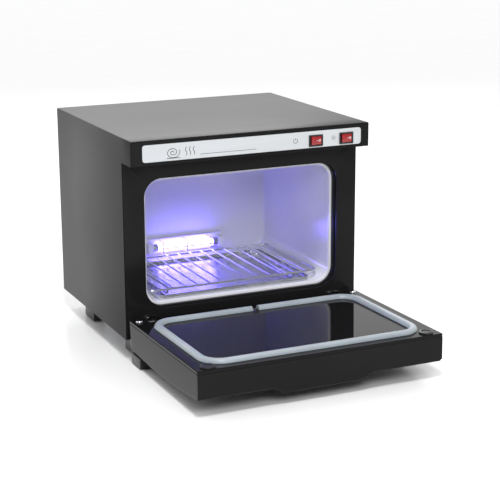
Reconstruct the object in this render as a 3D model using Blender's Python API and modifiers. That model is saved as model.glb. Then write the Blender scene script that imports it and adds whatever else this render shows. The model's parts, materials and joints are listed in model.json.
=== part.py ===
"""Hot towel cabinet with a drop-down door, a warmed and UV-lit chamber, a wire rack and two rocker switches.

Units are metres, +Z is up. The object's origin is the centre of its footprint on the table, door open.
Inside the cabinet frame, x = 0 is the middle, y = 0 the flat front and z = 0 the table; the door opens towards -y.
Run with: blender --background --python part.py
"""

import math

import bmesh
import bpy
from mathutils import Matrix, Vector
from mathutils.geometry import interpolate_bezier

# Driving dimensions of the case.
CASE_W = 0.450
CASE_D = 0.356
FOOT_H = 0.037
CASE_H = 0.3565
CASE_TOP = FOOT_H + CASE_H
HEADER_H = 0.043
HEADER_REACH = 0.045
SHEET = 0.0012
FOLD_R = 0.0025
GAP = 0.0003
INSIDE_X = CASE_W / 2 - SHEET
HEADER_Z = CASE_TOP - HEADER_H

# The chamber's mouth, from the front face inwards.
MOUTH_Z = FOOT_H + 0.1658
MOUTH_HALF_X = 0.186
MOUTH_HALF_Z = 0.1165
MOUTH_R = 0.035
FRAME_T = 0.0025
STEP = 0.003
STEP_Y = 0.007
STEP_END = 0.015
TRIM_END = 0.027
LINER_WALL = 0.0015
LINER_BACK = 0.300
LINER_HALF_Z = MOUTH_HALF_Z - 0.0045
LINER_FLOOR = MOUTH_Z - LINER_HALF_Z

# The door, measured from its hinge axis with the door level: +y towards the case, +z up.
HINGE_Y = -0.0235
HINGE_Z = FOOT_H + 0.0225
DOOR_TILT = math.radians(0.75)
DOOR_HALF_X = 0.2215
DOOR_HEEL = 0.0138
DOOR_REACH = 0.2885
DOOR_FACE = 0.0155
DOOR_SEAM = 0.0100
DOOR_WALL = 0.0025
DOOR_BELLY_Y = -0.130
DOOR_BELLY = 0.042
DOOR_HEEL_DEPTH = 0.0378
DOOR_TOE_DEPTH = 0.0333
HEEL_R = 0.014
EDGE_R = 0.004
GRIP_RISE = 0.0105
GRIP_FLAT_X = 0.065
GRIP_BASE_X = 0.095
GRIP_FLAT_Y = 0.275
GRIP_BASE_Y = 0.228

# Hinge parts.
HINGE_X = 0.1805
BRACKET_W = 0.024
BARREL_R = 0.0085
PIN_R = 0.003
BORE_R = PIN_R + GAP
NOTCH_HALF = BRACKET_W / 2 + 0.001
NOTCH_REACH = BARREL_R + 0.0008
SCREW_X = 0.209
SCREW_Y = -0.001

# Door seal and catches.
SEAL_R = 0.0074
SEAL_HALF_X = 0.1923
SEAL_HEEL = -0.0223
SEAL_TOE = -0.2653
SEAL_CORNER = 0.033
SEAL_SPLIT = 0.006
MAGNET_R = 0.012
MAGNET_X = 0.198
MAGNET_Y = -0.2735

# Switches and label.
SWITCH_Z = FOOT_H + 0.332
SWITCH_XS = {"power": 0.1185, "uv": 0.1787}
ROCKER_TILT = math.radians(7)
ROCKER_Y = -0.043
LABEL_X = 0.002
LABEL_Z = FOOT_H + 0.3343
LABEL_W = 0.4127
LABEL_H = 0.0292

SWITCH_HOLE_X = 0.0126
SWITCH_HOLE_Z = 0.0091
BEZEL_X = 0.0137
BEZEL_Z = 0.01025
LABEL_T = 0.0015

# Wire rack and drip tray.
RACK_HALF_X = 0.168
RACK_FRONT = 0.040
RACK_BACK = 0.256
RACK_RISE = 0.0125
RAIL_R = 0.0022
WIRE_R = 0.0015
CROSS_WIRES = 13
RUNNER_X = 0.126
TRAY_HALF_X = 0.150
TRAY_Y = (0.034, 0.256)
TRAY_H = 0.008
TRAY_T = 0.0012

# UV lamp.
LAMP_Z = 0.119
LAMP_Y = 0.277
LAMP_CABLE_X = -0.040
LAMP_BASE_FRONT = 0.2882
TUBE_HALF = 0.0577
TUBE_R = 0.0075
CAP_R = 0.0080
GUARD_R = 0.0011
CABLE_HOLE_R = 0.004

# Heating, inlet and wiring.
HEATER_T = 0.005
HEATER_HALF_X = 0.110
HEATER_Y = (0.090, 0.240)
FOAM_LOW = (-0.204, 0.030, 0.070)
FOAM_HIGH = (0.204, 0.318, 0.336)
SLEEVE_R = 0.0018
INLET_X = 0.140
INLET_Z = 0.082
INLET_HALF_X = 0.0140
INLET_HALF_Z = 0.0100
SCREW_PLACES = [(x, z) for z in (FOOT_H + 0.013, CASE_TOP - 0.014) for x in (-0.205, 0.205)]

# Back panel: two groups of cooling slots and the screws.
SLOT_GROUPS = (-0.105, 0.075)
SLOT_ROWS = 6
SLOT_Z = 0.225
SLOT_PITCH = 0.013
SLOT_HALF_X = 0.034
SLOT_HALF_Z = 0.002
SCREW_HOLE = 0.0018

# Feet: the stem under the case and the nose that reaches sideways and forwards.
STEM_X = (0.184, 0.206)
NOSE_X = (0.184, 0.2225)
NOSE_TOP = 0.0195
WEB_INSET = 0.0004

# Depth of everything behind the flat front, and the shift that centres the footprint.
REAR_FITTINGS = 0.0023
FRONT_TO_TOE = -HINGE_Y + DOOR_REACH
SHIFT_Y = (FRONT_TO_TOE - CASE_D - REAR_FITTINGS) / 2

BLACK = (0.012, 0.012, 0.013)
WHITE = (0.86, 0.87, 0.90)
STEEL = (0.62, 0.63, 0.65)


def clear_scene():
    for obj in list(bpy.data.objects):
        bpy.data.objects.remove(obj, do_unlink=True)


def new_collection(name):
    collection = bpy.data.collections.new(name)
    bpy.context.scene.collection.children.link(collection)
    return collection


def material(name, colour, roughness, metallic=0.0, alpha=1.0):
    mat = bpy.data.materials.new(name)
    mat.use_nodes = True
    shader = mat.node_tree.nodes["Principled BSDF"]
    shader.inputs["Base Color"].default_value = (*colour, 1.0)
    shader.inputs["Roughness"].default_value = roughness
    shader.inputs["Metallic"].default_value = metallic
    shader.inputs["Alpha"].default_value = alpha
    return mat


clear_scene()
PARTS = new_collection("hot_towel_cabinet")
CUTTERS = new_collection("cutters")


def frame_empty(name, parent, location, turn=(0, 0, 0)):
    empty = bpy.data.objects.new(name, None)
    empty.parent = parent
    empty.location = location
    empty.rotation_euler = turn
    PARTS.objects.link(empty)
    return empty


CABINET = frame_empty("cabinet_frame", None, (0, SHIFT_Y, 0))
DOOR = frame_empty("door_hinge_axis", CABINET, (0, HINGE_Y, HINGE_Z), (-DOOR_TILT, 0, 0))


def add(name, mesh, parent=CABINET, mat=None):
    """A part when it has a material, and otherwise a hidden cutter."""
    obj = bpy.data.objects.new(name, mesh)
    obj.parent = parent
    if mat is None:
        CUTTERS.objects.link(obj)
        obj.hide_render = True
        obj.display_type = "WIRE"
    else:
        PARTS.objects.link(obj)
        mesh.materials.append(mat)
    return obj


def mesh_from(bm, name):
    bmesh.ops.recalc_face_normals(bm, faces=bm.faces)
    mesh = bpy.data.meshes.new(name)
    bm.to_mesh(mesh)
    bm.free()
    return mesh


def box(name, low, high, mat=None, parent=CABINET, bevel=0.0, segments=2):
    bm = bmesh.new()
    size = [b - a for a, b in zip(low, high)]
    middle = [(a + b) / 2 for a, b in zip(low, high)]
    place = Matrix.Translation(middle) @ Matrix.Diagonal((*size, 1))
    bmesh.ops.create_cube(bm, size=1, matrix=place)
    if bevel:
        bmesh.ops.bevel(bm, geom=bm.edges[:], offset=bevel, segments=segments, affect="EDGES", profile=0.5)
    return add(name, mesh_from(bm, name), parent, mat)


def cylinder(name, radius, ends, mat=None, parent=CABINET, sides=24, bevel=0.0):
    """A round bar between two points."""
    a, b = Vector(ends[0]), Vector(ends[1])
    turn = (b - a).to_track_quat("Z", "Y").to_matrix().to_4x4()
    bm = bmesh.new()
    bmesh.ops.create_cone(
        bm, cap_ends=True, segments=sides, radius1=radius, radius2=radius, depth=(b - a).length,
        matrix=Matrix.Translation((a + b) / 2) @ turn,
    )
    if bevel:
        rims = [e for e in bm.edges if e.calc_face_angle(0) > 1]
        bmesh.ops.bevel(bm, geom=rims, offset=bevel, segments=2, affect="EDGES", profile=0.5)
    obj = add(name, mesh_from(bm, name), parent, mat)
    obj.data.shade_smooth()
    obj.data.set_sharp_from_angle(angle=math.radians(35))
    return obj


def rounded(half_u, half_v, radius, centre=(0, 0), steps=6):
    """A rectangle's outline with round corners, anticlockwise."""
    points = []
    for quarter, (su, sv) in enumerate(((1, 1), (-1, 1), (-1, -1), (1, -1))):
        for step in range(steps + 1):
            angle = math.radians(90) * (quarter + step / steps)
            u = su * (half_u - radius) + radius * math.cos(angle)
            v = sv * (half_v - radius) + radius * math.sin(angle)
            points.append((centre[0] + u, centre[1] + v))
    return points


PLANES = {
    "XY": Matrix.Identity(4),
    "XZ": Matrix.Rotation(math.radians(90), 4, "X"),
    "YZ": Matrix(((0, 0, 1, 0), (1, 0, 0, 0), (0, 1, 0, 0), (0, 0, 0, 1))),
}


def welded_mesh(curve_obj, name, place=Matrix.Identity(4)):
    """The mesh that a curve draws, closed, moved by a matrix. The curve is removed."""
    bpy.context.scene.collection.objects.link(curve_obj)
    graph = bpy.context.evaluated_depsgraph_get()
    mesh = bpy.data.meshes.new_from_object(curve_obj.evaluated_get(graph))
    curve = curve_obj.data
    bpy.data.objects.remove(curve_obj)
    bpy.data.curves.remove(curve)
    bm = bmesh.new()
    bm.from_mesh(mesh)
    bpy.data.meshes.remove(mesh)
    bmesh.ops.remove_doubles(bm, verts=bm.verts, dist=1e-5)
    bmesh.ops.transform(bm, matrix=place, verts=bm.verts)
    return mesh_from(bm, name)


def plate(name, outlines, plane, low, high, mat=None, parent=CABINET):
    """A flat plate from its outline and its holes' outlines, between two levels of the plane's normal."""
    curve = bpy.data.curves.new(name, "CURVE")
    curve.dimensions = "2D"
    curve.fill_mode = "BOTH"
    curve.extrude = (high - low) / 2
    for outline in outlines:
        spline = curve.splines.new("POLY")
        spline.points.add(len(outline) - 1)
        for point, (u, v) in zip(spline.points, outline):
            point.co = (u, v, 0, 1)
        spline.use_cyclic_u = True
    normal = PLANES[plane].to_3x3() @ Vector((0, 0, 1))
    middle = (low + high) / 2
    offset = Vector([abs(n) * middle for n in normal])
    mesh = welded_mesh(bpy.data.objects.new(name, curve), name, Matrix.Translation(offset) @ PLANES[plane])
    return add(name, mesh, parent, mat)


def hollow_loft(name, sections, mat):
    """A frame lofted round an opening: its sections are outlines with equal counts, each at a depth along y."""
    bm = bmesh.new()
    loops = [[bm.verts.new((x, y, z)) for x, z in outline] for outline, y in sections]
    for loop, following in zip(loops, loops[1:] + loops[:1]):
        for i, vert in enumerate(loop):
            after = (i + 1) % len(loop)
            bm.faces.new((vert, loop[after], following[after], following[i]))
    return add(name, mesh_from(bm, name), CABINET, mat)


def tube(name, points, radius, mat=None, parent=CABINET, cyclic=False, resolution=2):
    """A round wire along points."""
    curve = bpy.data.curves.new(name, "CURVE")
    curve.dimensions = "3D"
    curve.bevel_depth = radius
    curve.bevel_resolution = resolution
    curve.use_fill_caps = True
    spline = curve.splines.new("POLY")
    spline.points.add(len(points) - 1)
    for point, co in zip(spline.points, points):
        point.co = (*co, 1)
    spline.use_cyclic_u = cyclic
    mesh = welded_mesh(bpy.data.objects.new(name, curve), name)
    mesh.shade_smooth()
    return add(name, mesh, parent, mat)


def smooth_route(points, steps=4):
    """Points along a smooth curve through the given ones, which bends no wider than the shorter span beside each."""
    knots = [Vector(p) for p in points]
    slopes = []
    for before, here, after in zip([knots[0], *knots], knots, [*knots[1:], knots[-1]]):
        spans = [s for s in ((here - before).length, (after - here).length) if s > 0]
        slopes.append((after - before).normalized() * min(spans) / 3)
    route = []
    for start, end, leave, arrive in zip(knots, knots[1:], slopes, slopes[1:]):
        route += interpolate_bezier(start, start + leave, end - arrive, end, steps + 1)[:-1]
    return [*route, knots[-1]]


def turned(name, profile, place, mat, parent=CABINET, steps=20):
    """A turned piece: its profile runs from the top of the axis down the outer side to the bottom of the axis."""
    bm = bmesh.new()
    verts = [bm.verts.new((r, 0, z)) for r, z in profile]
    for a, b in zip(verts, verts[1:]):
        bm.edges.new((a, b))
    mesh = bpy.data.meshes.new(name)
    bm.to_mesh(mesh)
    bm.free()
    obj = add(name, mesh, parent, mat)
    obj.matrix_local = place
    screw = obj.modifiers.new("turn", "SCREW")
    screw.steps = steps
    screw.render_steps = steps
    screw.use_merge_vertices = True
    screw.merge_threshold = 0.00005
    screw.use_smooth_shade = False
    return obj


def combine(target, other, operation):
    boolean = target.modifiers.new(f"{operation.lower()} {other.name}", "BOOLEAN")
    boolean.operation = operation
    boolean.solver = "EXACT"
    boolean.object = other
    return target


def cut(target, *cutters):
    for cutter in cutters:
        combine(target, cutter, "DIFFERENCE")
    return target


def join(target, *others):
    for other in others:
        combine(target, other, "UNION")
    return target


def sides():
    """Left and right, as a word and a sign."""
    return (("left", -1), ("right", 1))


def mirrored(low_x, high_x, sign):
    """An x range given for the right side, on either side."""
    return (low_x, high_x) if sign > 0 else (-high_x, -low_x)


def mouth_outline(inset, steps=6):
    """The mouth's outline, drawn inwards by an inset."""
    return rounded(MOUTH_HALF_X - inset, MOUTH_HALF_Z - inset, MOUTH_R - inset, (0, MOUTH_Z), steps)


def make_case():
    """The wrap-over sheet, the back, the base and the front frame with its stepped surround."""
    paint = material("case_paint", BLACK, 0.28)
    outline = [
        (0, FOOT_H), (0, HEADER_Z), (-HEADER_REACH, HEADER_Z),
        (-HEADER_REACH, CASE_TOP), (CASE_D, CASE_TOP), (CASE_D, FOOT_H),
    ]
    wrap = plate("case_wrap", [outline], "YZ", -CASE_W / 2, CASE_W / 2, paint)
    bm = bmesh.new()
    bm.from_mesh(wrap.data)
    folds = [
        e for e in bm.edges
        if all(abs(v.co.z - CASE_TOP) < 1e-5 and abs(abs(v.co.x) - CASE_W / 2) < 1e-5 for v in e.verts)
    ]
    bmesh.ops.bevel(bm, geom=folds, offset=FOLD_R, segments=3, affect="EDGES", profile=0.5)
    bm.to_mesh(wrap.data)
    bm.free()
    cut(wrap, box("case_hollow", (-INSIDE_X, -0.1, -0.05), (INSIDE_X, 0.4, CASE_TOP - SHEET)))

    half = INSIDE_X - GAP
    middle = (FOOT_H + CASE_TOP - SHEET) / 2
    panel = [rounded(half, middle - FOOT_H - GAP, 0.0005, (0, middle), 1)]
    for group_x in SLOT_GROUPS:
        for row in range(SLOT_ROWS):
            panel.append(rounded(SLOT_HALF_X, SLOT_HALF_Z, 0.0019, (group_x, SLOT_Z + row * SLOT_PITCH), 3))
    panel.append(rounded(INLET_HALF_X + GAP, INLET_HALF_Z + GAP, GAP, (INLET_X, INLET_Z), 1))
    for x, z in SCREW_PLACES:
        panel.append(rounded(SCREW_HOLE, SCREW_HOLE, SCREW_HOLE - 0.00001, (x, z), 3))
    plate("rear_panel", panel, "XZ", CASE_D - SHEET, CASE_D, paint)
    for number, (x, z) in enumerate(SCREW_PLACES, 1):
        profile = [(0, 0.0020), (0.0022, 0.0017), (0.0034, 0.0010), (0.0034, 0.0003), (0.0014, 0.0003),
                   (0.0014, -0.006), (0, -0.006)]
        place = Matrix.Translation((x, CASE_D, z)) @ Matrix.Rotation(math.radians(-90), 4, "X")
        turned(f"rear_screw_{number}", profile, place, material("screw_steel", STEEL, 0.3, 1.0), steps=16)

    box("base_plate", (-half, 0.0028, FOOT_H + GAP), (half, CASE_D - SHEET - GAP, FOOT_H + GAP + SHEET),
        material("base_zinc", (0.35, 0.36, 0.37), 0.45, 0.9))

    low, high = FOOT_H + GAP, HEADER_Z + 0.0015
    edge = rounded(half, (high - low) / 2, 0.001, (0, (low + high) / 2))
    lip = STEP - 0.0005
    sections = [
        (edge, 0), (mouth_outline(0), 0), (mouth_outline(0), STEP_Y), (mouth_outline(STEP), STEP_Y),
        (mouth_outline(STEP), STEP_END), (mouth_outline(STEP - lip), STEP_END),
        (mouth_outline(STEP - lip), STEP_Y + 0.0015), (mouth_outline(-lip), STEP_Y + 0.0015),
        (mouth_outline(-lip), FRAME_T), (edge, FRAME_T),
    ]
    hollow_loft("front_frame", sections, material("frame_gloss", BLACK, 0.16))


def make_header():
    """The fascia folded under the header, the label plate and the two switch housings with their rockers."""
    half = INSIDE_X - GAP
    low, high = HEADER_Z + GAP, CASE_TOP - SHEET - GAP
    front = -HEADER_REACH
    fold = [(front, low), (-GAP, low), (-GAP, low + SHEET), (front + SHEET, low + SHEET), (front + SHEET, high),
            (front, high)]
    fascia = plate("header_fascia", [fold], "YZ", -half, half, material("fascia_gloss", BLACK, 0.2))
    for name, x in SWITCH_XS.items():
        cut(fascia, box(f"{name}_fascia_hole", (x - SWITCH_HOLE_X, front - 0.01, SWITCH_Z - SWITCH_HOLE_Z),
                        (x + SWITCH_HOLE_X, front + 0.01, SWITCH_Z + SWITCH_HOLE_Z)))

    label_front = -HEADER_REACH - GAP - LABEL_T
    holes = [rounded(SWITCH_HOLE_X, SWITCH_HOLE_Z, 0.0005, (x, SWITCH_Z), 1) for x in SWITCH_XS.values()]
    label = [rounded(LABEL_W / 2, LABEL_H / 2, 0.005, (LABEL_X, LABEL_Z), 5), *holes]
    plate("label_panel", label, "XZ", label_front, -HEADER_REACH - GAP, material("label_white", WHITE, 0.15))

    housing_black = material("switch_black", (0.015, 0.015, 0.016), 0.35)
    rocker_red = material("rocker_red", (0.62, 0.02, 0.03), 0.2)
    for name, x in SWITCH_XS.items():
        back = label_front - GAP
        housing = box(f"{name}_switch_housing", (x - BEZEL_X, back - LABEL_T, SWITCH_Z - BEZEL_Z),
                      (x + BEZEL_X, back, SWITCH_Z + BEZEL_Z), housing_black, bevel=0.0005, segments=1)
        body = box(f"{name}_switch_body", (x - SWITCH_HOLE_X + GAP, back - 0.0006, SWITCH_Z - SWITCH_HOLE_Z + GAP),
                   (x + SWITCH_HOLE_X - GAP, -0.0300, SWITCH_Z + SWITCH_HOLE_Z - GAP))
        tabs = [box(f"{name}_tab_{side}", (x + s * 0.006 - 0.0032, -0.0310, SWITCH_Z - 0.0004),
                    (x + s * 0.006 + 0.0032, -0.0220, SWITCH_Z + 0.0004)) for side, s in sides()]
        well = box(f"{name}_switch_well", (x - 0.0111, -0.060, SWITCH_Z - 0.0076),
                   (x + 0.0111, -0.0370, SWITCH_Z + 0.0076))
        socket = cylinder(f"{name}_trunnion_hole", 0.0015,
                          [(x, ROCKER_Y, SWITCH_Z - 0.0093), (x, ROCKER_Y, SWITCH_Z + 0.0093)], sides=12)
        cut(join(housing, body, *tabs), well, socket)

        face = [(-0.0106, -0.0010), (-0.0100, -0.0062), (0, -0.0050), (0.0100, -0.0062), (0.0106, -0.0010),
                (0.0060, 0.0040), (-0.0060, 0.0040)]
        pivot = frame_empty(f"{name}_rocker_axis", CABINET, (x, ROCKER_Y, SWITCH_Z), (0, 0, ROCKER_TILT))
        rocker = plate(f"{name}_rocker", [face], "XY", -0.0073, 0.0073, rocker_red, pivot)
        join(rocker, cylinder(f"{name}_trunnions", 0.0012, [(0, 0, -0.0083), (0, 0, 0.0083)],
                              parent=pivot, sides=10))


def make_chamber():
    """The white mouth trim, the liner, its insulation and the removable tray and rack."""
    white = material("liner_white", WHITE, 0.22)
    trim = plate("mouth_trim", [mouth_outline(-0.0005), mouth_outline(0.006)], "XZ", STEP_END + GAP, TRIM_END, white)
    bevel = trim.modifiers.new("rolled edge", "BEVEL")
    bevel.width = 0.0015
    bevel.segments = 2
    bevel.limit_method = "ANGLE"
    bevel.angle_limit = math.radians(60)

    front = TRIM_END + GAP
    shell = plate("chamber_liner", [mouth_outline(0.003)], "XZ", front, LINER_BACK, white)
    hollow = plate("liner_hollow", [mouth_outline(0.0045)], "XZ", front - 0.01, LINER_BACK - LINER_WALL)
    cable = cylinder("lamp_cable_hole", CABLE_HOLE_R, [(LAMP_CABLE_X, 0.2925, LAMP_Z), (LAMP_CABLE_X, 0.33, LAMP_Z)],
                     sides=16)
    cut(shell, hollow, cable)

    foam = box("liner_insulation", FOAM_LOW, FOAM_HIGH,
               material("insulation_foam", (0.55, 0.53, 0.48), 0.95))
    liner_space = plate("liner_space", [mouth_outline(0.003 - GAP)], "XZ", 0.02, LINER_BACK + GAP)
    window = box("heater_window", (-HEATER_HALF_X - 0.002, HEATER_Y[0] - 0.002, 0.060),
                 (HEATER_HALF_X + 0.002, HEATER_Y[1] + 0.002, 0.110))
    cut(foam, liner_space, window, cable)

    tray_low = LINER_FLOOR + GAP
    tray = box("drip_tray", (-TRAY_HALF_X, TRAY_Y[0], tray_low), (TRAY_HALF_X, TRAY_Y[1], tray_low + TRAY_H),
               material("tray_steel", (0.8, 0.81, 0.83), 0.25, 0.6), bevel=0.002)
    cut(tray, box("tray_hollow", (-TRAY_HALF_X + TRAY_T, TRAY_Y[0] + TRAY_T, tray_low + TRAY_T),
                  (TRAY_HALF_X - TRAY_T, TRAY_Y[1] - TRAY_T, tray_low + 0.03), bevel=0.001, segments=1))
    make_rack(tray_low + TRAY_T + GAP)


def make_rack(stand):
    """A wire rack: a round-cornered rail, wires across it and two runners that stand in the tray."""
    rail_z = stand + RACK_RISE + RAIL_R
    middle = (RACK_FRONT + RACK_BACK) / 2
    half = (RACK_BACK - RACK_FRONT) / 2
    ring = [(x, y, rail_z) for x, y in rounded(RACK_HALF_X, half, 0.012, (0, middle), 4)]
    rack = tube("wire_rack", ring, RAIL_R, material("rack_wire", (0.85, 0.86, 0.88), 0.25, 0.8), cyclic=True)
    for number in range(CROSS_WIRES):
        x = RACK_HALF_X * (2 * (number + 1) / (CROSS_WIRES + 1) - 1)
        wire = [(x, RACK_FRONT, rail_z + 0.0013), (x, RACK_BACK, rail_z + 0.0013)]
        join(rack, tube(f"rack_wire_{number}", wire, WIRE_R, resolution=1))
    for side, s in sides():
        x = s * RUNNER_X
        low = stand + RAIL_R
        runner = [(x, RACK_FRONT + 0.012, rail_z), (x, RACK_FRONT + 0.014, low + 0.003),
                  (x, RACK_FRONT + 0.018, low), (x, RACK_BACK - 0.018, low),
                  (x, RACK_BACK - 0.014, low + 0.003), (x, RACK_BACK - 0.012, rail_z)]
        bar = [(x, RACK_FRONT, rail_z - 0.0004), (x, RACK_BACK, rail_z - 0.0004)]
        join(rack, tube(f"rack_runner_{side}", runner, RAIL_R), tube(f"rack_bar_{side}", bar, RAIL_R))


def make_lamp():
    """The UV tube between two sockets on a white base at the back of the chamber, behind a wire guard."""
    white = material("lamp_base_white", WHITE, 0.3)
    base = box("uv_lamp_base", (-0.085, LAMP_BASE_FRONT, LAMP_Z - 0.015), (0.085, 0.2982, LAMP_Z + 0.015),
               white, bevel=0.0015)
    cut(base, bpy.data.objects["lamp_cable_hole"])
    for side, s in sides():
        x = mirrored(TUBE_HALF + 0.0103, TUBE_HALF + 0.0223, s)
        box(f"uv_socket_{side}", (x[0], LAMP_Y - 0.009, LAMP_Z - 0.010),
            (x[1], LAMP_BASE_FRONT - GAP, LAMP_Z + 0.010), white, bevel=0.0012)
        ends = [(s * (TUBE_HALF + GAP), LAMP_Y, LAMP_Z), (s * (TUBE_HALF + 0.010), LAMP_Y, LAMP_Z)]
        cylinder(f"uv_lamp_cap_{side}", CAP_R, ends, material("lamp_cap_metal", STEEL, 0.3, 1.0), sides=20,
                 bevel=0.0006)
    glass = material("uv_glass", (0.35, 0.30, 0.95), 0.05)
    cylinder("uv_lamp_tube", TUBE_R, [(-TUBE_HALF, LAMP_Y, LAMP_Z), (TUBE_HALF, LAMP_Y, LAMP_Z)], glass, sides=20)

    front, back = LAMP_Y - 0.0135, LAMP_BASE_FRONT - GAP
    low, high, bend = LAMP_Z - 0.0125, LAMP_Z + 0.0125, 0.004
    wire = material("guard_wire", (0.82, 0.83, 0.85), 0.3, 0.8)
    guard = tube("uv_lamp_guard", [(-0.056, front, LAMP_Z), (0.056, front, LAMP_Z)], GUARD_R, wire, resolution=1)
    for number, x in enumerate((-0.050, 0.0, 0.050)):
        hoop = [(x, back, low), (x, front + bend, low), (x, front + bend / 4, low + bend / 4),
                (x, front, low + bend), (x, front, high - bend), (x, front + bend / 4, high - bend / 4),
                (x, front + bend, high), (x, back, high)]
        join(guard, tube(f"guard_hoop_{number}", hoop, GUARD_R, resolution=1))


def make_heating():
    """The heater plate under the liner's floor, its thermostat and its thermal fuse."""
    top = LINER_FLOOR - LINER_WALL - GAP
    box("heater_plate", (-HEATER_HALF_X, HEATER_Y[0], top - HEATER_T), (HEATER_HALF_X, HEATER_Y[1], top),
        material("heater_aluminium", (0.6, 0.6, 0.62), 0.4, 1.0), bevel=0.0008, segments=1)
    low = top - HEATER_T - GAP
    profile = [(0, 0), (0.0090, 0), (0.0090, -0.0015), (0.0080, -0.0015), (0.0080, -0.0085),
               (0.0070, -0.0095), (0, -0.0095)]
    turned("thermostat", profile, Matrix.Translation((0.040, 0.165, low)),
           material("thermostat_ceramic", (0.12, 0.11, 0.10), 0.5), steps=20)
    cylinder("thermal_fuse", 0.0025, [(-0.052, 0.165, low - 0.0025), (-0.028, 0.165, low - 0.0025)],
             material("fuse_metal", STEEL, 0.3, 1.0), sides=12, bevel=0.0005)


def make_electrics():
    """The lamp's ballast, the terminal block, the mains inlet and the wiring between them."""
    floor = FOOT_H + GAP + SHEET + GAP
    box("uv_ballast", (-0.150, 0.322, floor), (-0.050, 0.352, floor + 0.040),
        material("ballast_white", (0.7, 0.7, 0.68), 0.5), bevel=0.0015, segments=1)
    box("terminal_block", (0.060, 0.326, floor), (0.110, 0.348, floor + 0.019),
        material("terminal_nylon", (0.75, 0.74, 0.70), 0.5), bevel=0.001, segments=1)

    black = material("inlet_black", (0.02, 0.02, 0.02), 0.4)
    outside = CASE_D + GAP
    housing = box("inlet_housing", (INLET_X - 0.022, outside, INLET_Z - 0.013),
                  (INLET_X + 0.022, outside + 0.002, INLET_Z + 0.013), black, bevel=0.0008, segments=1)
    body = box("inlet_body", (INLET_X - INLET_HALF_X, 0.334, INLET_Z - INLET_HALF_Z),
               (INLET_X + INLET_HALF_X, outside + 0.001, INLET_Z + INLET_HALF_Z))
    well = box("inlet_well", (INLET_X - 0.01215, 0.340, INLET_Z - 0.0082),
               (INLET_X + 0.01215, 0.370, INLET_Z + 0.0082))
    join(housing, body)
    cut(housing, well)
    pins = {"line": (-0.007, -0.0020), "earth": (0, 0.0020), "neutral": (0.007, -0.0020)}
    brass = material("pin_brass", (0.75, 0.62, 0.35), 0.3, 1.0)
    for name, (dx, dz) in pins.items():
        x, z = INLET_X + dx, INLET_Z + dz
        cut(housing, box(f"pin_slot_{name}", (x - 0.0013, 0.330, z - 0.0023), (x + 0.0013, 0.342, z + 0.0023)))
        box(f"inlet_pin_{name}", (x - 0.001, 0.328, z - 0.002), (x + 0.001, 0.354, z + 0.002), brass)

    block_top, block_mid = floor + 0.019, floor + 0.010
    block_end, block_start = 0.1115, 0.0585
    ballast_top = floor + 0.0412
    routes = {
        "harness_inlet": [(0.140, 0.3274, INLET_Z - 0.002), (0.140, 0.3245, INLET_Z - 0.002), (0.139, 0.321, 0.066),
                          (0.127, 0.333, block_mid), (0.118, 0.337, block_mid), (block_end, 0.337, block_mid)],
        "harness_power_switch": [(0.085, 0.337, block_top + 0.0012), (0.085, 0.337, 0.070), (0.085, 0.338, 0.300),
                                 (0.090, 0.315, 0.358), (0.105, 0.240, 0.364), (0.1185, 0.050, 0.364),
                                 (0.1185, -0.012, SWITCH_Z), (0.1185, -0.0214, SWITCH_Z)],
        "harness_uv_switch": [(-0.100, 0.337, ballast_top), (-0.100, 0.337, 0.095), (-0.100, 0.338, 0.310),
                              (-0.090, 0.310, 0.380), (-0.040, 0.240, 0.386), (0.120, 0.080, 0.386),
                              (0.1787, 0.010, 0.376), (0.1787, -0.012, SWITCH_Z), (0.1787, -0.0214, SWITCH_Z)],
        "harness_lamp": [(-0.130, 0.337, ballast_top), (-0.130, 0.335, 0.088), (-0.098, 0.3285, 0.112),
                         (-0.056, 0.3275, LAMP_Z), (LAMP_CABLE_X, 0.3205, LAMP_Z), (LAMP_CABLE_X, 0.293, LAMP_Z)],
        "harness_heater": [(block_start, 0.337, block_mid), (0.050, 0.337, block_mid), (0.020, 0.290, 0.052),
                           (0.010, 0.230, 0.056), (0.008, 0.180, 0.070), (0.008, 0.180, 0.0826)],
    }
    sleeve = material("harness_sleeve", (0.10, 0.10, 0.11), 0.6)
    for name, route in routes.items():
        tube(name, smooth_route(route), SLEEVE_R, sleeve, resolution=1)


def make_feet():
    """Four moulded feet. The front ones reach forward under the open door, so that it can't tip the cabinet."""
    plastic = material("foot_plastic", (0.014, 0.014, 0.015), 0.5)
    top = FOOT_H - GAP
    for side, s in sides():
        stem = mirrored(*STEM_X, s)
        nose = mirrored(*NOSE_X, s)
        foot = box(f"foot_front_{side}", (nose[0], -0.060, 0), (nose[1], -0.018, NOSE_TOP), plastic, bevel=0.0015,
                   segments=1)
        web = box(f"foot_web_{side}", (stem[0] + WEB_INSET, -0.022, WEB_INSET),
                  (stem[1] - WEB_INSET, -0.004, NOSE_TOP - WEB_INSET))
        post = box(f"foot_post_{side}", (stem[0], -0.008, 0), (stem[1], 0.060, top), bevel=0.0015, segments=1)
        join(foot, web, post)
        box(f"foot_rear_{side}", (stem[0], 0.234, 0), (stem[1], 0.284, top), plastic, bevel=0.0015, segments=1)


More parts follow.
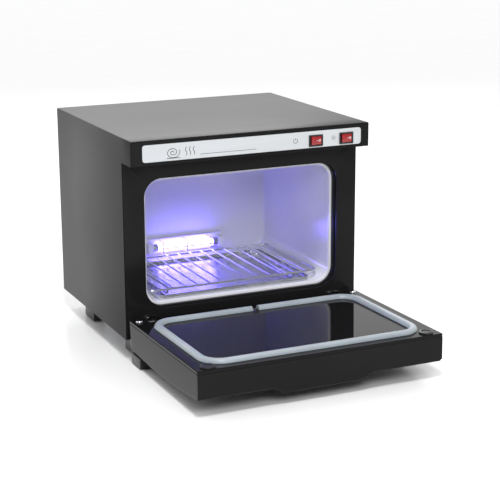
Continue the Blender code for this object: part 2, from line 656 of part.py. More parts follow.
def make_hinges():
    """A lug and barrel on the case, a pin through it and a clevis block inside the door, on each side."""
    zinc = material("hinge_zinc", (0.72, 0.73, 0.75), 0.25, 1.0)
    steel = material("pin_steel", STEEL, 0.2, 1.0)
    black = material("clevis_nylon", (0.02, 0.02, 0.02), 0.5)
    low, high, round_top = FOOT_H + 0.008, FOOT_H + 0.040, 0.009
    for side, s in sides():
        x = s * HINGE_X
        lug_outline = rounded(BRACKET_W / 2, (high - low) / 2, round_top, (x, (low + high) / 2), 5)
        bracket = plate(f"hinge_bracket_{side}", [lug_outline], "XZ", -0.0073, -GAP, zinc)
        ends = [(x - BRACKET_W / 2, HINGE_Y, HINGE_Z), (x + BRACKET_W / 2, HINGE_Y, HINGE_Z)]
        barrel = cylinder(f"hinge_barrel_{side}", BARREL_R, ends, sides=24)
        arm = box(f"hinge_arm_{side}", (ends[0][0], HINGE_Y, HINGE_Z - BARREL_R + 0.0001),
                  (ends[1][0], -0.005, HINGE_Z + BARREL_R - 0.0001))
        bore = cylinder(f"hinge_bore_{side}", BORE_R,
                        [(x - 0.02, HINGE_Y, HINGE_Z), (x + 0.02, HINGE_Y, HINGE_Z)], sides=24)
        cut(join(bracket, barrel, arm), bore)

        cylinder(f"hinge_pin_{side}", PIN_R, [(x - s * 0.0215, 0, 0), (x + s * 0.0225, 0, 0)], steel, DOOR, 24,
                 bevel=0.0004)
        block_x = mirrored(0.1575, 0.216, s)
        block = box(f"hinge_clevis_{side}", (block_x[0], -0.0125, -0.016), (block_x[1], 0.0108, 0.0122), black, DOOR)
        pin_hole = cylinder(f"pin_hole_{side}", BORE_R, [(s * 0.150, 0, 0), (s * 0.2045, 0, 0)], None, DOOR, 24)
        screw_hole = cylinder(f"screw_hole_{side}", 0.0023,
                              [(s * SCREW_X, SCREW_Y, -0.012), (s * SCREW_X, SCREW_Y, 0.030)], None, DOOR, 12)
        notch = box(f"hinge_notch_{side}", (x - NOTCH_HALF, -NOTCH_REACH, -NOTCH_REACH),
                    (x + NOTCH_HALF, 0.030, 0.030), None, DOOR)
        cut(block, notch, pin_hole, screw_hole)
        profile = [(0, DOOR_FACE + 0.0028), (0.0030, DOOR_FACE + 0.0025), (0.0060, DOOR_FACE + 0.0012),
                   (0.0060, DOOR_FACE + GAP), (0.0020, DOOR_FACE + GAP), (0.0020, -0.010), (0, -0.010)]
        turned(f"hinge_screw_{side}", profile, Matrix.Translation((s * SCREW_X, SCREW_Y, 0)),
               material("screw_chrome", (0.9, 0.9, 0.92), 0.08, 1.0), DOOR, 24)


def ease(value, start, end):
    """0 before start, 1 after end, and a smooth step between."""
    t = min(max((value - start) / (end - start), 0), 1)
    return t * t * (3 - 2 * t)


def outer_face(x, y):
    """The door's outer face below its hinge axis: a shallow belly, the grip at the free end and rounded edges."""
    if y > DOOR_BELLY_Y:
        rise = (DOOR_BELLY - DOOR_HEEL_DEPTH) * ((y - DOOR_BELLY_Y) / -DOOR_BELLY_Y) ** 2
    else:
        rise = (DOOR_BELLY - DOOR_TOE_DEPTH) * ((DOOR_BELLY_Y - y) / (DOOR_REACH + DOOR_BELLY_Y)) ** 2
    grip = ease(-y, GRIP_BASE_Y, GRIP_FLAT_Y) * ease(-abs(x), -GRIP_BASE_X, -GRIP_FLAT_X)
    return -DOOR_BELLY + rise - GRIP_RISE * grip


def edge_rise(from_side, from_toe, radius):
    """How far the rounded edges lift the face at its distances from the side and from the free end."""
    across, along = (radius - min(max(d, 0), radius) for d in (from_side, from_toe))
    return radius - math.sqrt(radius**2 - min(math.hypot(across, along), radius) ** 2)


def door_form(name, inset, top, mat=None):
    """A solid of the door's outer form, drawn inwards by an inset: a grid shaped to the face, with straight sides."""
    half, heel_y, toe_y = DOOR_HALF_X - inset, DOOR_HEEL - inset, -DOOR_REACH + inset
    edge, heel_r = EDGE_R - inset, HEEL_R - inset
    right = [0, 0.030, GRIP_FLAT_X, 0.0705, 0.076, 0.084, 0.0895, GRIP_BASE_X, 0.125, 0.175,
             half - edge, half - 0.3 * edge, half]
    columns = [-x for x in reversed(right[1:])] + right
    turn = [math.radians(a) for a in (0, 30, 60)]
    face_end = heel_y - heel_r
    rows = [heel_y - heel_r * (1 - math.cos(a)) for a in turn]
    rows += [face_end, -0.040, -0.085, DOOR_BELLY_Y, -0.175, -0.205, -GRIP_BASE_Y, -0.240, -0.2515, -0.263,
             -GRIP_FLAT_Y, toe_y + edge, toe_y + 0.3 * edge, toe_y]

    bm = bmesh.new()
    bmesh.ops.create_grid(bm, x_segments=len(columns) - 1, y_segments=len(rows) - 1, size=1)
    for vert in bm.verts:
        column = round((vert.co.x + 1) / 2 * (len(columns) - 1))
        row = round((vert.co.y + 1) / 2 * (len(rows) - 1))
        x, y = columns[column], rows[row]
        z = outer_face(x, min(y, face_end)) + inset + edge_rise(half - abs(x), y - toe_y, edge)
        if row < len(turn):
            z += heel_r * (1 - math.sin(turn[row]))
        vert.co = (x, y, z)
    rim = [e for e in bm.edges if e.is_boundary]
    grown = bmesh.ops.extrude_edge_only(bm, edges=rim)["geom"]
    upper = [e for e in grown if isinstance(e, bmesh.types.BMEdge)]
    for vert in (v for v in grown if isinstance(v, bmesh.types.BMVert)):
        vert.co.z = top
    bmesh.ops.contextual_create(bm, geom=upper)
    return add(name, mesh_from(bm, name), DOOR, mat)


def make_door_shell():
    """The outer shell: the door's form, hollowed to its wall and notched for the hinges."""
    shell = door_form("door_outer_shell", 0, DOOR_SEAM - GAP, material("door_gloss", BLACK, 0.22))
    hollow = door_form("door_hollow", DOOR_WALL, DOOR_SEAM + 0.02)
    cut(shell, hollow, *(bpy.data.objects[f"hinge_notch_{side}"] for side, _ in sides()))


def make_door():
    """The outer shell, the glossy inner panel, the foam between them, the seal and the two magnet catches."""
    make_door_shell()
    panel = box("door_inner_panel", (-DOOR_HALF_X, -DOOR_REACH, DOOR_SEAM), (DOOR_HALF_X, DOOR_HEEL, DOOR_FACE),
                material("panel_black_gloss", (0.008, 0.008, 0.009), 0.05), DOOR, bevel=0.001)
    inside = box("panel_hollow", (-DOOR_HALF_X + DOOR_WALL, -DOOR_REACH + DOOR_WALL, -0.01),
                 (DOOR_HALF_X - DOOR_WALL, DOOR_HEEL - DOOR_WALL, DOOR_FACE - 0.003), None, DOOR)
    notches = [bpy.data.objects[f"hinge_notch_{side}"] for side, _ in sides()]
    screws = [bpy.data.objects[f"screw_hole_{side}"] for side, _ in sides()]
    cut(panel, inside, *notches, *screws)

    box("door_insulation", (-0.214, -0.283, -0.028), (0.214, -0.016, 0.0122),
        material("door_foam", (0.6, 0.58, 0.52), 0.95), DOOR)

    base = DOOR_FACE + GAP
    middle = (SEAL_HEEL + SEAL_TOE) / 2
    ring = rounded(SEAL_HALF_X, (SEAL_HEEL - SEAL_TOE) / 2, SEAL_CORNER, (0, middle), 6)
    first = next(i for i, (x, y) in enumerate(ring) if x < 0 and y > middle)
    around = [(x, y, base) for x, y in ring[first:] + ring[:first]]
    path = [(-SEAL_SPLIT, SEAL_HEEL, base), *around, (SEAL_SPLIT, SEAL_HEEL, base)]
    seal = tube("door_gasket", path, SEAL_R, material("seal_silicone", (0.55, 0.60, 0.66), 0.35), DOOR, resolution=3)
    cut(seal, box("seal_flat", (-0.25, -0.32, base - 0.02), (0.25, 0.03, base), None, DOOR))

    for side, s in sides():
        ends = [(s * MAGNET_X, MAGNET_Y, base), (s * MAGNET_X, MAGNET_Y, base + 0.0025)]
        cylinder(f"door_magnet_{side}", MAGNET_R, ends, material("magnet_black", (0.03, 0.03, 0.032), 0.35), DOOR,
                 24, bevel=0.0005)


make_case()
make_header()
make_chamber()
make_lamp()
make_heating()
make_electrics()
make_feet()
make_hinges()
make_door()
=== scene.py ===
import json
import math

import bmesh
import bpy
from mathutils import Matrix, Vector


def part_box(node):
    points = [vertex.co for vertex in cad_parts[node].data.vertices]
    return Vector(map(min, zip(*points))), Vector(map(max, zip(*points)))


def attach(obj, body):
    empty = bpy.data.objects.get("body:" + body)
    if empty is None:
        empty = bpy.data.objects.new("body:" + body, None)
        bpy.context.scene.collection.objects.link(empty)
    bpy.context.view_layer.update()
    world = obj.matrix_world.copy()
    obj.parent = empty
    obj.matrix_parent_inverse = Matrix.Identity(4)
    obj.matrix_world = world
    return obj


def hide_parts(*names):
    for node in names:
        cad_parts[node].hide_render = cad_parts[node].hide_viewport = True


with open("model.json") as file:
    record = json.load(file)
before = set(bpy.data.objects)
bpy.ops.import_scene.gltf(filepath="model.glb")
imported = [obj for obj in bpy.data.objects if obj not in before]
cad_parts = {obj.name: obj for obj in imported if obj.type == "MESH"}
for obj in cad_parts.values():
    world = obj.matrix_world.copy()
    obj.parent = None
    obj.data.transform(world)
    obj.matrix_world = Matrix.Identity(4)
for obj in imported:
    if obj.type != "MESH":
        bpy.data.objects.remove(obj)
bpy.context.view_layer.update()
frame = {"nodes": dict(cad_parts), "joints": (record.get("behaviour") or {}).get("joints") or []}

# The studio: a wide white table top with a faint gloss, soft white light from all round that is dimmer behind
# the camera, three square soft lamps, and a long lens at the height of a standing person's eyes.
TABLE_SIZE = 30
NOISE_BAND = (0.3, 0.7)
scene = bpy.context.scene
scene.view_settings.view_transform = "Standard"


def new_material(name, **constants):
    """A material, its tree and its shader, with constants on the shader's own sockets by their names."""
    mat = bpy.data.materials.new(name)
    mat.use_nodes = True
    shader = mat.node_tree.nodes["Principled BSDF"]
    for key, value in constants.items():
        shader.inputs[key.replace("_", " ")].default_value = value
    return mat, mat.node_tree, shader


def noise(tree, scale, detail=2.0, stretch=(1, 1, 1)):
    """A noise pattern fixed to the piece, stretched along an axis where its stretch is small."""
    place = tree.nodes.new("ShaderNodeTexCoord")
    mapping = tree.nodes.new("ShaderNodeMapping")
    mapping.inputs["Scale"].default_value = stretch
    pattern = tree.nodes.new("ShaderNodeTexNoise")
    pattern.inputs["Scale"].default_value = scale
    pattern.inputs["Detail"].default_value = detail
    tree.links.new(place.outputs["Object"], mapping.inputs["Vector"])
    tree.links.new(mapping.outputs["Vector"], pattern.inputs["Vector"])
    return pattern.outputs["Fac"]


def vary(tree, pattern, socket, low, high):
    """Drives a shader's number by a pattern, between two values."""
    span = tree.nodes.new("ShaderNodeMapRange")
    span.inputs["From Min"].default_value = NOISE_BAND[0]
    span.inputs["From Max"].default_value = NOISE_BAND[1]
    span.inputs["To Min"].default_value = low
    span.inputs["To Max"].default_value = high
    tree.links.new(pattern, span.inputs["Value"])
    tree.links.new(span.outputs["Result"], socket)


def tint(tree, pattern, socket, dark, light):
    """Drives a shader's colour by a pattern, between two colours."""
    ramp = tree.nodes.new("ShaderNodeValToRGB")
    for number, colour in enumerate((dark, light)):
        ramp.color_ramp.elements[number].position = NOISE_BAND[number]
        ramp.color_ramp.elements[number].color = (*colour, 1)
    tree.links.new(pattern, ramp.inputs["Fac"])
    tree.links.new(ramp.outputs["Color"], socket)


def bump(tree, shader, pattern, depth):
    """Raises the surface by a pattern, up to a depth in metres."""
    relief = tree.nodes.new("ShaderNodeBump")
    relief.inputs["Strength"].default_value = 1.0
    relief.inputs["Distance"].default_value = depth
    tree.links.new(pattern, relief.inputs["Height"])
    tree.links.new(relief.outputs["Normal"], shader.inputs["Normal"])


def surface(name, dark, light, gloss, grain, depth, cloud=6.0, stretch=(1, 1, 1), **constants):
    """A finish: its colour and roughness drift in large clouds, and a fine grain stands up from it."""
    mat, tree, shader = new_material(name, **constants)
    clouds = noise(tree, cloud)
    tint(tree, clouds, shader.inputs["Base Color"], dark, light)
    vary(tree, clouds, shader.inputs["Roughness"], *gloss)
    bump(tree, shader, noise(tree, grain, 3.0, stretch), depth)
    return mat


def coat(piece, mat):
    """Gives the whole piece one material."""
    piece.data.materials.clear()
    piece.data.materials.append(mat)
    for face in piece.data.polygons:
        face.material_index = 0


bpy.ops.object.select_all(action="DESELECT")
bpy.ops.mesh.primitive_plane_add(size=TABLE_SIZE)
table = bpy.context.object
table.name = "table_top"
table_white = surface(
    "table_white", dark=(0.94, 0.94, 0.945), light=(0.95, 0.95, 0.955), gloss=(0.2, 0.205), grain=9,
    depth=0.000002)
coat(table, table_white)

sky = bpy.data.worlds.new("studio")
sky.use_nodes = True
scene.world = sky
direction = sky.node_tree.nodes.new("ShaderNodeTexCoord")
split = sky.node_tree.nodes.new("ShaderNodeSeparateXYZ")
sky.node_tree.links.new(direction.outputs["Generated"], split.inputs["Vector"])


def sky_ramp(axis, start, end, low, high):
    """A brightness that rises along an axis of the sky, from one height to another."""
    ramp = sky.node_tree.nodes.new("ShaderNodeMapRange")
    for key, value in (("From Min", start), ("From Max", end), ("To Min", low), ("To Max", high)):
        ramp.inputs[key].default_value = value
    sky.node_tree.links.new(split.outputs[axis], ramp.inputs["Value"])
    return ramp.outputs["Result"]


product = sky.node_tree.nodes.new("ShaderNodeMath")
product.operation = "MULTIPLY"
sky.node_tree.links.new(sky_ramp("Z", start=0.1, end=0.75, low=1.33, high=1.1), product.inputs[0])
sky.node_tree.links.new(sky_ramp("Y", start=-0.9, end=0.4, low=0.16, high=0.94), product.inputs[1])
background = sky.node_tree.nodes["Background"]
background.inputs["Color"].default_value = (1, 1, 1, 1)
sky.node_tree.links.new(product.outputs["Value"], background.inputs["Strength"])


def lamp(name, place, aim, size, watts):
    """A soft square lamp turned towards a point."""
    light = bpy.data.lights.new(name, "AREA")
    light.size = size
    light.energy = watts
    holder = bpy.data.objects.new(name, light)
    scene.collection.objects.link(holder)
    holder.location = place
    holder.rotation_euler = (Vector(aim) - Vector(place)).to_track_quat("-Z", "Y").to_euler()


lamp("key_lamp", place=(-0.5, -1.2, 2.9), aim=(0, -0.4, 0), size=0.5, watts=47)
lamp("fill_lamp", place=(-0.35, -1.75, 1.3), aim=(0, 0.1, 0.2), size=0.8, watts=16)
lamp("back_lamp", place=(0.6, 2.1, 1.75), aim=(0, 0, 0.35), size=1.5, watts=22)

CAMERA_EYE = (-1.0068, -2.2335, 0.8125)
CAMERA_TURN = math.radians(24.759)
CAMERA_DIP = math.radians(14.738)
CAMERA_ROLL = math.radians(-0.26)
lens = bpy.data.cameras.new("view")
lens.sensor_width = 36
lens.lens = 101.7
camera = bpy.data.objects.new("view", lens)
scene.collection.objects.link(camera)
scene.camera = camera
camera.matrix_world = (
    Matrix.Translation(CAMERA_EYE)
    @ Matrix.Rotation(-CAMERA_TURN, 4, "Z")
    @ Matrix.Rotation(math.radians(90) - CAMERA_DIP, 4, "X")
    @ Matrix.Rotation(CAMERA_ROLL, 4, "Z")
)

# The case cover: one sheet of 1.2 mm steel folded over the sides and the top, whose header reaches forward
# over the door. It is powder coated satin black and slides over the chassis from above.
SHEET = 0.0012
FOLD_R = 0.0025
HEADER_LIP = 0.0003
SAME_PLACE = 0.0002


def begin():
    """Leaves edit mode and deselects everything, so that the next operator acts on what it is given."""
    if bpy.context.object and bpy.context.object.mode != "OBJECT":
        bpy.ops.object.mode_set(mode="OBJECT")
    bpy.ops.object.select_all(action="DESELECT")


def take(piece):
    """Makes a piece the active one, alone in the selection."""
    begin()
    piece.select_set(True)
    bpy.context.view_layer.objects.active = piece


def settle(piece, name):
    """Names a new piece and moves its place, turn and size into its mesh."""
    piece.name = name
    piece.data.name = name
    bpy.ops.object.transform_apply(location=True, rotation=True, scale=True)
    return piece


def block(name, low, high):
    """A box between two corners."""
    begin()
    middle = (Vector(low) + Vector(high)) / 2
    bpy.ops.mesh.primitive_cube_add(size=1, location=middle, scale=Vector(high) - Vector(low))
    return settle(bpy.context.object, name)


def pick(piece, kind, wanted):
    """Selects in edit mode the FACE, EDGE or VERT items that pass a test of their middle and their normal,
    or of an edge's middle and direction."""
    take(piece)
    bpy.ops.object.mode_set(mode="EDIT")
    bpy.ops.mesh.select_mode(type=kind)
    bpy.ops.mesh.select_all(action="DESELECT")
    grid = bmesh.from_edit_mesh(piece.data)
    for item in {"FACE": grid.faces, "EDGE": grid.edges, "VERT": grid.verts}[kind][:]:
        if kind == "VERT":
            chosen = wanted(item.co, item.normal)
        elif kind == "EDGE":
            ends = [v.co for v in item.verts]
            chosen = wanted((ends[0] + ends[1]) / 2, (ends[1] - ends[0]).normalized())
        else:
            chosen = wanted(item.calc_center_median(), item.normal)
        if chosen:
            item.select_set(True)
    bmesh.update_edit_mesh(piece.data)


def push(x, y, z):
    """Extrudes the selection by a distance."""
    bpy.ops.mesh.extrude_region_move(TRANSFORM_OT_translate={"value": (x, y, z)})


def modify(piece, kind, **settings):
    """Adds a modifier and applies it."""
    take(piece)
    modifier = piece.modifiers.new(kind.lower(), kind)
    for key, value in settings.items():
        setattr(modifier, key, value)
    bpy.ops.object.modifier_apply(modifier=modifier.name)


def soften(piece, width, segments=3, angle=40):
    """Rounds the edges that are sharper than an angle, and shades the piece smooth between them."""
    modify(piece, "BEVEL", width=width, segments=segments, limit_method="ANGLE",
           angle_limit=math.radians(angle), harden_normals=False)
    smooth(piece)


def smooth(piece, angle=35):
    """Shades a piece smooth except across its sharp edges."""
    take(piece)
    bpy.ops.object.shade_smooth_by_angle(angle=math.radians(angle))


def fit(piece, mat, body, slot, *nodes):
    """Finishes a piece: its material, the body it moves with and the solids it stands for. The slot is not
    used.
    """
    coat(piece, mat)
    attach(piece, body)
    if nodes:
        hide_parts(*nodes)


def near(a, b):
    """True where two places differ by no more than rounding does."""
    return abs(a - b) < SAME_PLACE


wrap_low, wrap_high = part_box("case_wrap")
front_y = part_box("front_frame")[0].y
header_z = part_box("header_fascia")[0].z - HEADER_LIP
cover = block("case_cover", (wrap_low.x, front_y, wrap_low.z), wrap_high)
pick(cover, "FACE", lambda middle, normal: True)
bpy.ops.mesh.bisect(plane_co=(0, 0, header_z), plane_no=(0, 0, 1))
pick(cover, "FACE", lambda middle, normal: normal.y < -0.9 and middle.z > header_z)
push(0, wrap_low.y - front_y, 0)
pick(cover, "FACE", lambda middle, normal: abs(normal.y) > 0.9 or normal.z < -0.9)
bpy.ops.mesh.delete(type="FACE")
pick(cover, "EDGE", lambda middle, along: abs(along.y) > 0.9 and near(middle.z, wrap_high.z))
bpy.ops.mesh.bevel(offset=FOLD_R, segments=6, affect="EDGES")
modify(cover, "SOLIDIFY", thickness=SHEET, offset=-1)
soften(cover, width=0.0003, segments=2)
satin_black = surface(
    "satin_black_coat", dark=(0.014, 0.014, 0.0145), light=(0.018, 0.018, 0.0185), gloss=(0.32, 0.38),
    grain=900, depth=0.000012, cloud=3.0, Specular_IOR_Level=0.092)
fit(cover, satin_black, "root", "case_paint", "case_wrap")

# The back and the base of the chassis: pressed sheet, the back in the cover's black with its cooling slots,
# the base left in bare galvanised steel. Four pan-head screws hold the back.
PAN_R = 0.0034
PAN_H = 0.0018
PAN_SEAT = 0.0017
HEAD_ROUND = 0.8
RECESS_ARM = (0.16, 0.95)
RECESS_SPAN = 0.55
RECESS_FLOOR = 0.45
coat(frame["nodes"]["rear_panel"], satin_black)
zinc = surface(
    "galvanised_sheet", dark=(0.32, 0.33, 0.34), light=(0.5, 0.51, 0.53), gloss=(0.35, 0.55), grain=90,
    depth=0.00002, cloud=55.0, Metallic=1.0)
coat(frame["nodes"]["base_plate"], zinc)


def carve(piece, tool):
    """Cuts a tool's shape out of a piece and removes the tool."""
    modify(piece, "BOOLEAN", operation="DIFFERENCE", solver="EXACT", object=tool)
    bpy.data.objects.remove(tool)


def turned_disc(name, radius, height, rim):
    """A round disc from z = 0 up, with a rounded upper rim."""
    begin()
    bpy.ops.mesh.primitive_cylinder_add(vertices=48, radius=radius, depth=height, location=(0, 0, height / 2))
    disc = settle(bpy.context.object, name)
    pick(disc, "EDGE", lambda middle, along: near(middle.z, height) and abs(along.z) < 0.1)
    bpy.ops.mesh.bevel(offset=rim, segments=6, affect="EDGES")
    return disc


def cross_head(name, radius, height):
    """A pan-head screw's head with a cross recess, from z = 0 up."""
    head = turned_disc(name, radius, height, rim=height * HEAD_ROUND)
    for size in (RECESS_ARM, RECESS_ARM[::-1]):
        half = Vector(size) * radius * RECESS_SPAN
        carve(head, block("recess", (-half.x, -half.y, height * RECESS_FLOOR), (half.x, half.y, height * 2)))
    smooth(head, angle=30)
    return head


def copy_to(piece, name, place):
    """A copy of a piece with its own mesh, moved by a matrix."""
    twin = piece.copy()
    twin.data = piece.data.copy()
    twin.name = name
    twin.data.name = name
    twin.data.transform(place)
    scene.collection.objects.link(twin)
    return twin


bright_steel = surface(
    "bright_steel", dark=(0.52, 0.53, 0.55), light=(0.66, 0.67, 0.69), gloss=(0.18, 0.3), grain=700,
    depth=0.00001, cloud=90.0, Metallic=1.0)
pan_head = cross_head("pan_head", PAN_R, PAN_H)
for number in range(1, 5):
    low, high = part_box(f"rear_screw_{number}")
    seat = Matrix.Translation(((low.x + high.x) / 2, high.y - PAN_SEAT, (low.z + high.z) / 2))
    screw = copy_to(pan_head, f"rear_screw_head_{number}", seat @ Matrix.Rotation(math.radians(-90), 4, "X"))
    fit(screw, bright_steel, "root", "steel", f"rear_screw_{number}")
bpy.data.objects.remove(pan_head)

# The front of the chassis: one gloss black pressing. Its mouth turns in towards the chamber with a narrow step
# on the way, and the door's seal lands on the flat round the mouth.
CORNER_STEPS = 12
FACING_R = 0.001
FACING_T = 0.0018
LIP_EDGE = 0.0005
gloss_black = surface(
    "gloss_black_coat", dark=(0.010, 0.010, 0.0105), light=(0.013, 0.013, 0.0135), gloss=(0.12, 0.18),
    grain=500, depth=0.000008, cloud=4.0, Specular_IOR_Level=0.1)


def rounded_panel(name, low, high, y, radius):
    """A flat panel that faces forward, with rounded corners."""
    begin()
    middle = ((low[0] + high[0]) / 2, y, (low[1] + high[1]) / 2)
    size = (high[0] - low[0], high[1] - low[1], 1)
    bpy.ops.mesh.primitive_plane_add(size=1, location=middle, rotation=(math.radians(90), 0, 0))
    bpy.context.object.scale = size
    panel = settle(bpy.context.object, name)
    pick(panel, "VERT", lambda place, normal: True)
    bpy.ops.mesh.bevel(offset=radius, segments=CORNER_STEPS, affect="VERTICES")
    return panel


def face_at(piece, y):
    """Selects the piece's forward faces at a depth."""
    pick(piece, "FACE", lambda middle, normal: abs(normal.y) > 0.9 and near(middle.y, y))


def merge(piece, *others):
    """Joins other objects to a piece."""
    take(piece)
    for other in others:
        other.select_set(True)
    bpy.ops.object.join()


MOUTH_R = 0.035
STEP = 0.003
STEP_DEPTH = 0.007
step_y = front_y + STEP_DEPTH
frame_low, frame_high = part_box("front_frame")
trim_low, trim_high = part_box("mouth_trim")
mouth_low = (trim_low.x + LIP_EDGE, trim_low.z + LIP_EDGE)
mouth_high = (trim_high.x - LIP_EDGE, trim_high.z - LIP_EDGE)
facing = rounded_panel("front_facing", mouth_low, mouth_high, front_y, MOUTH_R)
face_at(facing, front_y)
push(0, step_y - front_y, 0)
bpy.ops.mesh.inset(thickness=STEP)
push(0, frame_high.y - step_y, 0)
bpy.ops.mesh.delete(type="FACE")
face_at(facing, front_y)
bpy.ops.mesh.delete(type="ONLY_FACE")
outer = rounded_panel("facing_outline", (frame_low.x, frame_low.z), (frame_high.x, frame_high.z), front_y,
                      FACING_R)
face_at(outer, front_y)
bpy.ops.mesh.delete(type="ONLY_FACE")
merge(facing, outer)
pick(facing, "EDGE", lambda middle, along: near(middle.y, front_y) and abs(along.y) < 0.1)
bpy.ops.mesh.fill()
pick(facing, "FACE", lambda middle, normal: True)
bpy.ops.mesh.normals_make_consistent(inside=False)
modify(facing, "SOLIDIFY", thickness=FACING_T, offset=-1)
soften(facing, width=0.0008, segments=4)
fit(facing, gloss_black, "root", "front_gloss", "front_frame")
coat(frame["nodes"]["header_fascia"], gloss_black)

# The label plate: a glossy white acrylic strip bonded to the header, with plain symbols printed in grey and
# cut out for the two switches.
LABEL_R = 0.005
SWITCH_HOLE = (0.0126, 0.0091)
OVERCUT = 0.01
INK = 0.00005
STROKE_FLATNESS = 0.2


def box_round(name, spot, half, start, end):
    """A box round a spot on the front, from its half sizes across and up and from its span backwards."""
    low = (spot[0] - half[0], start, spot[1] - half[1])
    high = (spot[0] + half[0], end, spot[1] + half[1])
    return block(name, low, high)


label_low, label_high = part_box("label_panel")
label = rounded_panel("label_plate", (label_low.x, label_low.z), (label_high.x, label_high.z), label_low.y,
                      LABEL_R)
face_at(label, label_low.y)
push(0, label_high.y - label_low.y, 0)
for name in ("power", "uv"):
    low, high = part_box(f"{name}_switch_housing")
    spot = ((low.x + high.x) / 2, (low.z + high.z) / 2)
    carve(label, box_round("switch_hole", spot, SWITCH_HOLE, label_low.y - OVERCUT, label_high.y + OVERCUT))
soften(label, width=0.0004, segments=3, angle=50)
acrylic = surface(
    "white_acrylic", dark=(0.58, 0.60, 0.62), light=(0.61, 0.63, 0.65), gloss=(0.06, 0.1), grain=300,
    depth=0.000004, Coat_Weight=0.6, Coat_Roughness=0.04)
fit(label, acrylic, "root", "label_white", "label_panel")

print_grey = surface(
    "printed_grey", dark=(0.03, 0.03, 0.035), light=(0.05, 0.05, 0.055), gloss=(0.35, 0.45), grain=800,
    depth=0.000005, cloud=80.0)
print_y = label_low.y - INK


def arc(centre, radius, start, end, steps):
    """Points round a centre, from one angle in degrees to another."""
    turns = (math.radians(start + (end - start) * i / steps) for i in range(steps + 1))
    return [(centre[0] + radius * math.cos(t), centre[1] + radius * math.sin(t)) for t in turns]


def drawn(name, lines, radius, roundness, closed=False):
    """Round strokes along lists of points, as one mesh with closed ends."""
    path = bpy.data.curves.new(name, "CURVE")
    path.dimensions = "3D"
    path.bevel_depth = radius
    path.bevel_resolution = roundness
    path.use_fill_caps = True
    for points in lines:
        spline = path.splines.new("POLY")
        spline.points.add(len(points) - 1)
        for point, place in zip(spline.points, points):
            point.co = (*place, 1)
        spline.use_cyclic_u = closed
    piece = bpy.data.objects.new(name, path)
    scene.collection.objects.link(piece)
    take(piece)
    bpy.ops.object.convert(target="MESH")
    piece = bpy.context.object
    pick(piece, "VERT", lambda place, normal: True)
    bpy.ops.mesh.remove_doubles(threshold=0.00001)
    begin()
    return piece


def printed(name, strokes, width):
    """A symbol of flattened strokes, each a list of places across and up."""
    lines = [[(across, 0, up) for across, up in stroke] for stroke in strokes]
    symbol = drawn(name, lines, radius=width / 2, roundness=2)
    symbol.data.transform(Matrix.Diagonal((1, STROKE_FLATNESS, 1, 1)))
    return symbol


def on_label(symbol):
    """Prints a symbol on the label plate."""
    symbol.data.transform(Matrix.Translation((0, print_y, 0)))
    fit(symbol, print_grey, "root", "label_white")


label_z = (label_low.z + label_high.z) / 2
standby = (0.0790, label_z)
standby_stem = [(standby[0], standby[1] + 0.0010), (standby[0], standby[1] + 0.0050)]
standby_ring = arc(standby, radius=0.0040, start=125, end=415, steps=24)
on_label(printed("standby_symbol", [standby_ring, standby_stem], width=0.0009))

sun = (0.1535, label_z)
RAY = (0.0030, 0.0044)
rays = [[(sun[0] + r * math.cos(t), sun[1] + r * math.sin(t)) for r in RAY]
        for t in (math.radians(45 * i) for i in range(8))]
on_label(printed("lamp_symbol", [arc(sun, radius=0.0019, start=0, end=354, steps=20), *rays], width=0.0007))

ROLL_CORE = 0.0012
ROLL_PITCH = 0.0009
ROLL_SQUASH = 0.8
roll = (-0.1500, label_z - 0.0010)
spiral = [(roll[0] + (ROLL_CORE + ROLL_PITCH * t) * math.cos(t),
           roll[1] + (ROLL_CORE + ROLL_PITCH * t) * math.sin(t) * ROLL_SQUASH)
          for t in (0.35 * i for i in range(38))]
shelf_z = roll[1] - 0.0095
shelf = [(roll[0] - 0.011, shelf_z), (roll[0] + 0.013, shelf_z)]
on_label(printed("towel_symbol", [spiral, shelf], width=0.0011))

STEAM_X = -0.126
STEAM_GAP = 0.007
STEAM_SWAY = 0.0013
STEAM_RISE = 0.0013
steam_foot = label_z - 0.0075
waves = []
for column in range(3):
    start = STEAM_X + column * STEAM_GAP
    waves.append([(start + STEAM_SWAY * math.sin(step * math.pi / 5), steam_foot + step * STEAM_RISE)
                  for step in range(12)])
on_label(printed("steam_symbol", waves, width=0.0011))
rule_z = label_z - 0.0078
on_label(printed("label_rule", [[(-0.101, rule_z), (0.004, rule_z)]], width=0.0007))

# The two rocker switches: a black nylon bezel snapped into the header, and a red rocker lit from inside that
# tips about an upright pin and carries the on and off marks.
nylon_black = surface(
    "black_nylon", dark=(0.012, 0.012, 0.0125), light=(0.018, 0.018, 0.0185), gloss=(0.3, 0.42),
    grain=1200, depth=0.00001, cloud=40.0)
rocker_red = surface(
    "rocker_red", dark=(0.26, 0.006, 0.010), light=(0.34, 0.010, 0.014), gloss=(0.08, 0.14), grain=500,
    depth=0.000004, cloud=60.0, Coat_Weight=0.5, Emission_Color=(1.0, 0.02, 0.03, 1),
    Emission_Strength=0.05)
mark_white = surface(
    "mark_white", dark=(0.85, 0.80, 0.78), light=(0.92, 0.88, 0.86), gloss=(0.3, 0.4), grain=900,
    depth=0.000004, cloud=90.0)
joints = {joint["name"]: joint for joint in frame["joints"]}
BEZEL_T = 0.0015
BODY = (0.0123, 0.0088)
WELL = (0.0111, 0.0076)
TAB = (0.0032, 0.0004)
TAB_OUT = 0.006
TAB_LENGTH = 0.008
TAB_ROOT = 0.001
WELL_DEPTH = 0.0085
CAP_LOW = (-0.0103, -0.0062, -0.0073)
CAP_HIGH = (0.0103, 0.0040, 0.0073)
CAP_DIP = 0.0012
CAP_RUN = 0.010
CAP_TAPER = 0.55
MARK_SPOT = (0.0045, -0.0056, 0)


def unite(piece, *others):
    """Welds other solids to a piece."""
    for other in others:
        modify(piece, "BOOLEAN", operation="UNION", solver="EXACT", object=other)
        bpy.data.objects.remove(other)


